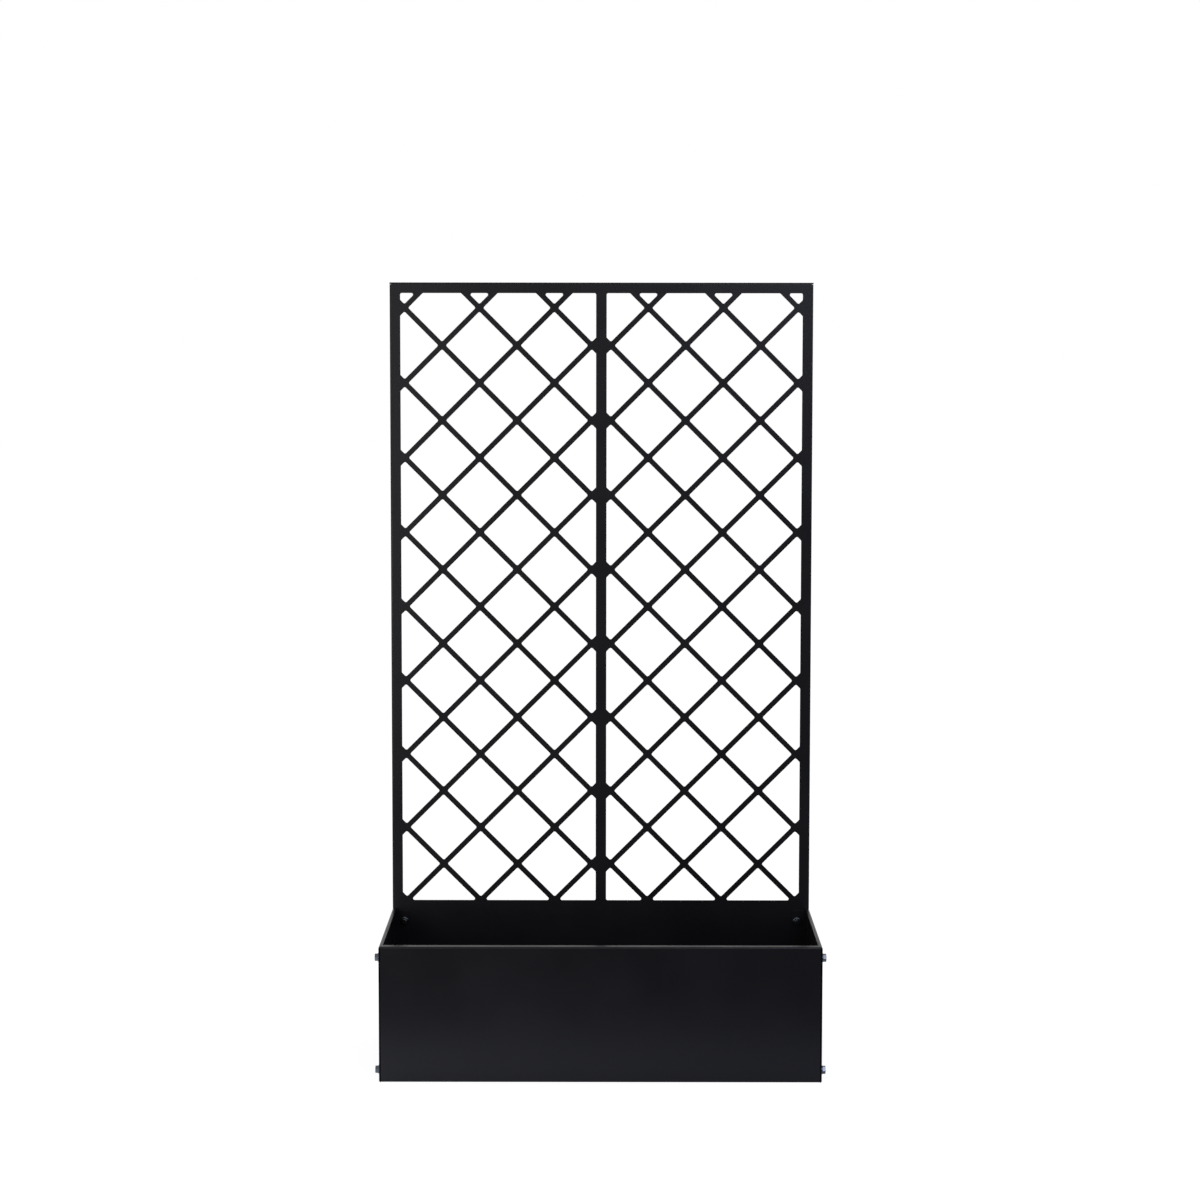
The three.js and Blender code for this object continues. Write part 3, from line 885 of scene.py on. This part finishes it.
def threaded_shank(tree, given):
    """A cylinder from the tip up, whose radius is drawn in along a helix and at the tip."""
    length, tip_z = given["Length"], given["Tip"]
    rod = add(tree, "GeometryNodeMeshCylinder", {
        "Vertices": SHANK_SIDES, "Side Segments": SHANK_RINGS, "Radius": 1.0, "Depth": length})
    middle = add(tree, "ShaderNodeMath", {0: length, 1: 0.5, 2: tip_z}, operation="MULTIPLY_ADD")
    rod = lifted(tree, rod, middle)
    place = add(tree, "GeometryNodeInputPosition")
    parts = add(tree, "ShaderNodeSeparateXYZ", {0: place}).outputs
    angle = add(tree, "ShaderNodeMath", {0: parts["Y"], 1: parts["X"]}, operation="ARCTAN2")
    turns = add(tree, "ShaderNodeMath", {0: parts["Z"], 1: given["Pitch"]}, operation="DIVIDE")
    phase = add(tree, "ShaderNodeMath", {0: angle, 1: -0.5 / math.pi, 2: turns}, operation="MULTIPLY_ADD")
    swing = add(tree, "ShaderNodeMath", {0: phase, 1: 0.5}, operation="PINGPONG")
    groove = add(tree, "ShaderNodeMapRange", {
        "Value": swing, "From Min": CREST_TO, "From Max": ROOT_FROM,
        "To Min": 0.0, "To Max": given["Thread depth"]})
    outer = add(tree, "ShaderNodeMath", {0: given["Diameter"], 1: 0.5}, operation="MULTIPLY")
    radius = add(tree, "ShaderNodeMath", {0: outer, 1: groove}, operation="SUBTRACT")
    above_tip = add(tree, "ShaderNodeMath", {0: parts["Z"], 1: tip_z}, operation="SUBTRACT")
    tip = add(tree, "ShaderNodeMath", {0: outer, 1: given["Chamfer"]}, operation="SUBTRACT")
    tip = add(tree, "ShaderNodeMath", {0: tip, 1: above_tip}, operation="ADD")
    radius = add(tree, "ShaderNodeMath", {0: radius, 1: tip}, operation="MINIMUM")
    wide = add(tree, "ShaderNodeCombineXYZ", {"X": radius, "Y": radius, "Z": 1.0})
    scaled = add(tree, "ShaderNodeVectorMath", {0: place, 1: wide}, operation="MULTIPLY")
    return add(tree, "GeometryNodeSetPosition", {"Geometry": rod, "Position": scaled})


print("the thread is drawn on", SHANK_SIDES * SHANK_RINGS, "faces")

# %% [markdown]
# ## Bolts
# A bolt is forged from one bar, so head and shank are joined to one solid.

# %% Make the bolts
HEAD_ACROSS_FLATS = 13 * MM
HEAD_HEIGHT = 5.3 * MM
HEAD_SEAT = 2 * TOUCH + WASHER_THICKNESS  # from the face of the sheet to the underside of the head
CHAMFER = 0.8 * MM
BOLT_DIAMETER = 8 * MM
BOLT_LENGTH = 16 * MM
INTO_HEAD = 1.0 * MM  # how far the drawn shank goes up inside the head
PITCH = 1.25 * MM
THREAD_DEPTH = 0.7 * MM
FASTENER_EASE = 0.25 * MM


def bolt_tree():
    tree, given, result = new_tree(
        "hex bolts", Geometry=["Places"], Int=["Seed"], Material=["Material"],
        Float=["Across flats", "Height", "Bottom", "Chamfer", "Diameter", "Length", "Tip", "Pitch",
               "Thread depth"])
    head = turned_hexagon(tree, given, True)
    both = add(tree, "GeometryNodeMeshBoolean", {
        "Mesh 2": [head, threaded_shank(tree, given)]}, operation="UNION", solver="EXACT")
    return place_copies(tree, given, result, mark_sharp_edges(tree, both, given["Bottom"]))


def points_for(name):
    """A mesh of loose points, one for each bolt, with its outward direction as an attribute."""
    data = bpy.data.meshes.new(name)
    data.from_pydata([place for place, _ in BOLTS], [], [])
    outward = data.attributes.new("outward", "FLOAT_VECTOR", "POINT")
    outward.data.foreach_set("vector", [value for _, direction in BOLTS for value in direction])
    return object_of(name, data)


def make_fasteners(name, tree, nodes, **sizes):
    """Puts a fastener on every point, in place of the frame's nodes with that ending."""
    copies = run_nodes(points_for(name), tree, material=ZINC, **sizes)
    ease_edges(copies, FASTENER_EASE, "WEIGHT")
    finish(copies, ZINC, "zinc_plated_steel", *nodes_ending(nodes))


make_fasteners(
    "hex_bolts", bolt_tree(), "_bolt", across_flats=HEAD_ACROSS_FLATS, height=HEAD_HEIGHT,
    bottom=HEAD_SEAT, chamfer=CHAMFER, diameter=BOLT_DIAMETER, length=BOLT_LENGTH + INTO_HEAD,
    tip=HEAD_SEAT - BOLT_LENGTH, pitch=PITCH, thread_depth=THREAD_DEPTH, seed=13)

# %% [markdown]
# ## Washers
# A washer is stamped from sheet, so its edges are slightly round: a rounded rectangle swept round a
# circle gives that.

# %% Make the washers
WASHER_DIAMETER = 16 * MM
WASHER_BORE = BOLT_DIAMETER + 2 * TOUCH
RING_STEPS = 56


def washer_tree():
    tree, given, result = new_tree(
        "washers", Geometry=["Places"], Int=["Seed"], Material=["Material"],
        Float=["Middle radius", "Width", "Thickness", "Middle", "Edge"])
    path = add(tree, "GeometryNodeCurvePrimitiveCircle", {
        "Resolution": RING_STEPS, "Radius": given["Middle radius"]})
    section = add(tree, "GeometryNodeCurvePrimitiveQuadrilateral", {
        "Width": given["Width"], "Height": given["Thickness"]})
    rounded = add(tree, "GeometryNodeFilletCurve", {
        "Curve": section, "Radius": given["Edge"], "Count": 3}, mode="POLY")
    ring = add(tree, "GeometryNodeCurveToMesh", {"Curve": path, "Profile Curve": rounded})
    return place_copies(tree, given, result, lifted(tree, ring, given["Middle"]))


make_fasteners(
    "washers", washer_tree(), "_washer", middle_radius=(WASHER_DIAMETER + WASHER_BORE) / 4,
    width=(WASHER_DIAMETER - WASHER_BORE) / 2, thickness=WASHER_THICKNESS, middle=WASHER_MIDDLE,
    edge=FASTENER_EASE, seed=3)

# %% [markdown]
# ## Nuts
# A nut is the same hexagonal bar as the head, turned off at both ends and bored.

# %% Make the nuts
NUT_HEIGHT = 6.5 * MM
NUT_TOP = -(2 * SHEET + 2 * TOUCH)  # a nut is on the other side of two sheets
NUT_BORE = BOLT_DIAMETER + 2 * TOUCH
BORE_SIDES = 48
BORE_CUTTER = 50 * MM


def nut_tree():
    tree, given, result = new_tree(
        "nuts", Geometry=["Places"], Int=["Seed"], Material=["Material"],
        Float=["Across flats", "Height", "Bottom", "Chamfer", "Bore"])
    body = turned_hexagon(tree, given, True, False)
    bore_radius = add(tree, "ShaderNodeMath", {0: given["Bore"], 1: 0.5}, operation="MULTIPLY")
    rod = add(tree, "GeometryNodeMeshCylinder", {
        "Vertices": BORE_SIDES, "Radius": bore_radius, "Depth": BORE_CUTTER})
    bored = add(tree, "GeometryNodeMeshBoolean", {
        "Mesh 1": body, "Mesh 2": rod}, operation="DIFFERENCE", solver="EXACT")
    below = add(tree, "ShaderNodeMath", {0: given["Bottom"], 1: MM}, operation="SUBTRACT")
    return place_copies(tree, given, result, mark_sharp_edges(tree, bored, below))


make_fasteners(
    "hex_nuts", nut_tree(), "_nut", across_flats=HEAD_ACROSS_FLATS, height=NUT_HEIGHT,
    bottom=NUT_TOP - NUT_HEIGHT, chamfer=CHAMFER, bore=NUT_BORE, seed=5)

# %% [markdown]
# ## Floor
# The planter stands on a white sweep, and the camera sees it as plain white with the planter's shadow.
# Light and reflections find a white board under, beside and behind the planter, which brightens the
# lower part of the box. Its right end is darker and bluer, painted shade for light that comes from the
# left. Only in front it fades to grey, painted shade where the light on the sweep falls off forward.

# %% Make the white floor
WHITE = (1, 1, 1, 1)
# Painted shade: the board's right end is darker and bluer, for light that comes from the left.
BOARD_LIT_AND_SHADED_HEXES = "f3f5ff", "bbbfcf"  # at the left end of the board and at its right end
BOARD_HALF = 0.6  # metres along X from the middle to those ends
BOARD_SHAPE = (0.5, 1, 0)  # the board is twice as wide as it is deep
BOARD_EDGE = 0.40  # metres forward from the middle to where it starts to fade
BOARD_FADE = 0.75  # and to where it has faded
# Painted shade: in front the board fades to this grey, where the light on the sweep falls off towards the
# camera.
PAINTED_SHADE_HEX = "58585c"
SHADE_FROM = -0.15  # place along Y from which the board may fade at all
SHADE_FULL = -0.60  # and from which it fades wholly
FLOOR_GREY = (0.25, 0.25, 0.25, 1)  # a matt layer that takes the shadow
FLOOR_GLOW = 0.88  # and a glow that makes up the rest of the white
FLOOR_RADIUS = 30.0
FLOOR_SIDES = 96


def white_floor():
    material = new_material("white sweep")
    tree = material.node_tree
    path = add(tree, "ShaderNodeLightPath").outputs
    place = add(tree, "ShaderNodeTexCoord").outputs["Object"]
    along = add(tree, "ShaderNodeSeparateXYZ", {0: place}).outputs
    squeezed = add(tree, "ShaderNodeVectorMath", {0: place, 1: BOARD_SHAPE}, operation="MULTIPLY")
    reach = add(tree, "ShaderNodeVectorMath", {0: squeezed}, operation="LENGTH").outputs["Value"]
    to_right, in_front, off_board = (
        add(tree, "ShaderNodeMapRange", {"Value": value, "From Min": low, "From Max": high},
            interpolation_type="SMOOTHSTEP")
        for value, low, high in (
            (along["X"], -BOARD_HALF, BOARD_HALF), (along["Y"], SHADE_FROM, SHADE_FULL),
            (reach, BOARD_EDGE, BOARD_FADE)))
    # painted shade: the board turns darker and bluer towards the right
    board = add(tree, "ShaderNodeMix", {
        0: to_right, 6: linear(BOARD_LIT_AND_SHADED_HEXES[0]), 7: linear(BOARD_LIT_AND_SHADED_HEXES[1])}, data_type="RGBA")
    # painted shade: in front and off the board, the floor fades to grey
    dimmed = add(tree, "ShaderNodeMath", {0: off_board, 1: in_front}, operation="MULTIPLY")
    colour = add(tree, "ShaderNodeMix", {
        0: dimmed, 6: board.outputs[2], 7: linear(PAINTED_SHADE_HEX)}, data_type="RGBA")
    lit = add(tree, "ShaderNodeBsdfDiffuse", {"Color": colour.outputs[2]})
    shade = add(tree, "ShaderNodeBsdfDiffuse", {"Color": FLOOR_GREY})
    glow = add(tree, "ShaderNodeEmission", {"Color": WHITE, "Strength": FLOOR_GLOW})
    seen = add(tree, "ShaderNodeAddShader", {0: shade, 1: glow})
    mixed = add(tree, "ShaderNodeMixShader", {0: path["Is Camera Ray"], 1: lit, 2: seen})
    add(tree, "ShaderNodeOutputMaterial", {"Surface": mixed})
    return material


disc = bmesh.new()
bmesh.ops.create_circle(disc, cap_ends=True, segments=FLOOR_SIDES, radius=FLOOR_RADIUS)
floor = object_from("floor", disc)
floor.data.materials.append(white_floor())
print("floor %.0f m across" % (2 * FLOOR_RADIUS))

# %% [markdown]
# ## World
# Black steel shows mostly what it mirrors, so the world is a room. In front it is dim, which keeps the
# black fronts black, and brighter at its left than at its right. Behind the planter a white backdrop
# fades upwards into the room's light. Matt surfaces get even light, and the camera sees white.

# %% Make the world
DAYLIGHT = 0.6  # even light from all round, which shows each colour about as it is written
ROOM_LEVEL = 0.24  # what a reflection finds in the room at eye level
CEILING_LEVEL = 0.35  # and overhead
WINDOW_SIDE = 0.5  # how much brighter than the middle the room is at its left, and dimmer at its right
# Directions are parts of a unit vector: along X to the right, along Y to the back, along Z up.
CEILING_FULL = 0.8  # from this height up, the room is as light as its ceiling
SIDE_FULL = 0.35  # from this far to a side, it is as light as that side
BEHIND_FULL = 0.35  # from this far to the back, a reflection finds only the backdrop
BACKDROP_FULL = 0.08  # up to this height the backdrop is plain white
BACKDROP_TOP = 0.35  # and from this height up its light has faded into the room's


def studio_world():
    world = bpy.data.worlds.new("studio")
    world.use_nodes = True
    tree = world.node_tree
    tree.nodes.clear()
    path = add(tree, "ShaderNodeLightPath").outputs
    way = add(tree, "ShaderNodeTexCoord").outputs["Generated"]
    way = add(tree, "ShaderNodeSeparateXYZ", {0: way}).outputs
    up, to_right, behind, below_top = (
        add(tree, "ShaderNodeMapRange", {"Value": way[axis], "From Min": low, "From Max": high},
            interpolation_type="SMOOTHSTEP")
        for axis, low, high in (
            ("Z", 0.0, CEILING_FULL), ("X", -SIDE_FULL, SIDE_FULL), ("Y", 0.0, BEHIND_FULL),
            ("Z", BACKDROP_TOP, BACKDROP_FULL)))
    dimmed = add(tree, "ShaderNodeMix", {0: up, 2: ROOM_LEVEL, 3: CEILING_LEVEL})
    side = add(tree, "ShaderNodeMix", {0: to_right, 2: 1 + WINDOW_SIDE, 3: 1 - WINDOW_SIDE})
    dimmed = add(tree, "ShaderNodeMath", {0: dimmed, 1: side}, operation="MULTIPLY")
    backdrop = add(tree, "ShaderNodeMath", {0: behind, 1: below_top}, operation="MULTIPLY")
    reflection = add(tree, "ShaderNodeMix", {0: backdrop, 2: dimmed, 3: 1.0})
    mirrored = add(tree, "ShaderNodeMath", {
        0: path["Is Glossy Ray"], 1: path["Is Transmission Ray"]}, operation="MAXIMUM")
    level = add(tree, "ShaderNodeMix", {0: mirrored, 2: DAYLIGHT, 3: reflection})
    level = add(tree, "ShaderNodeMix", {0: path["Is Camera Ray"], 2: level, 3: 1.0})
    light = add(tree, "ShaderNodeBackground", {"Color": WHITE, "Strength": level})
    add(tree, "ShaderNodeOutputWorld", {"Surface": light})
    return world


bpy.context.scene.world = studio_world()
print("world tree:", len(bpy.context.scene.world.node_tree.nodes), "nodes")

# %% [markdown]
# ## Softboxes
# Four soft lamps give the light its direction. The tall one stands in front at the left, and the high
# one, the strongest, in front at the right. One is beside the box at the right, and a small low one
# lights the left of the floor in front.

# %% Hang the softboxes
def softbox(name, place, aim, width, height, power, colour="ffffff"):
    """A flat lamp at a place, aimed at a point. Places and sizes are in metres, power in watts."""
    data = bpy.data.lights.new(name, "AREA")
    data.shape = "RECTANGLE"
    data.size = width
    data.size_y = height
    data.energy = power
    data.color = linear(colour)[:3]
    lamp = bpy.data.objects.new(name, data)
    lamp.location = place
    lamp.rotation_euler = (Vector(aim) - Vector(place)).to_track_quat("-Z", "Y").to_euler()
    bpy.context.scene.collection.objects.link(lamp)
    print(name, power, "W")


softbox("tall softbox", (-1.5, -3.8, 1.1), (0, 0, 0.6), 1.0, 2.2, 14)
softbox("high softbox", (1.4, -3.6, 2.5), (0, 0, 0.8), 1.6, 1.6, 37, "e0e5ff")
softbox("side softbox", (2.8, -0.9, 1.6), (0, 0, 0.4), 1.2, 1.2, 10, "dfe9ff")
softbox("low softbox", (-1.3, -1.4, 0.7), (-0.4, -0.4, 0.0), 0.6, 0.6, 4.5, "eef3ff")
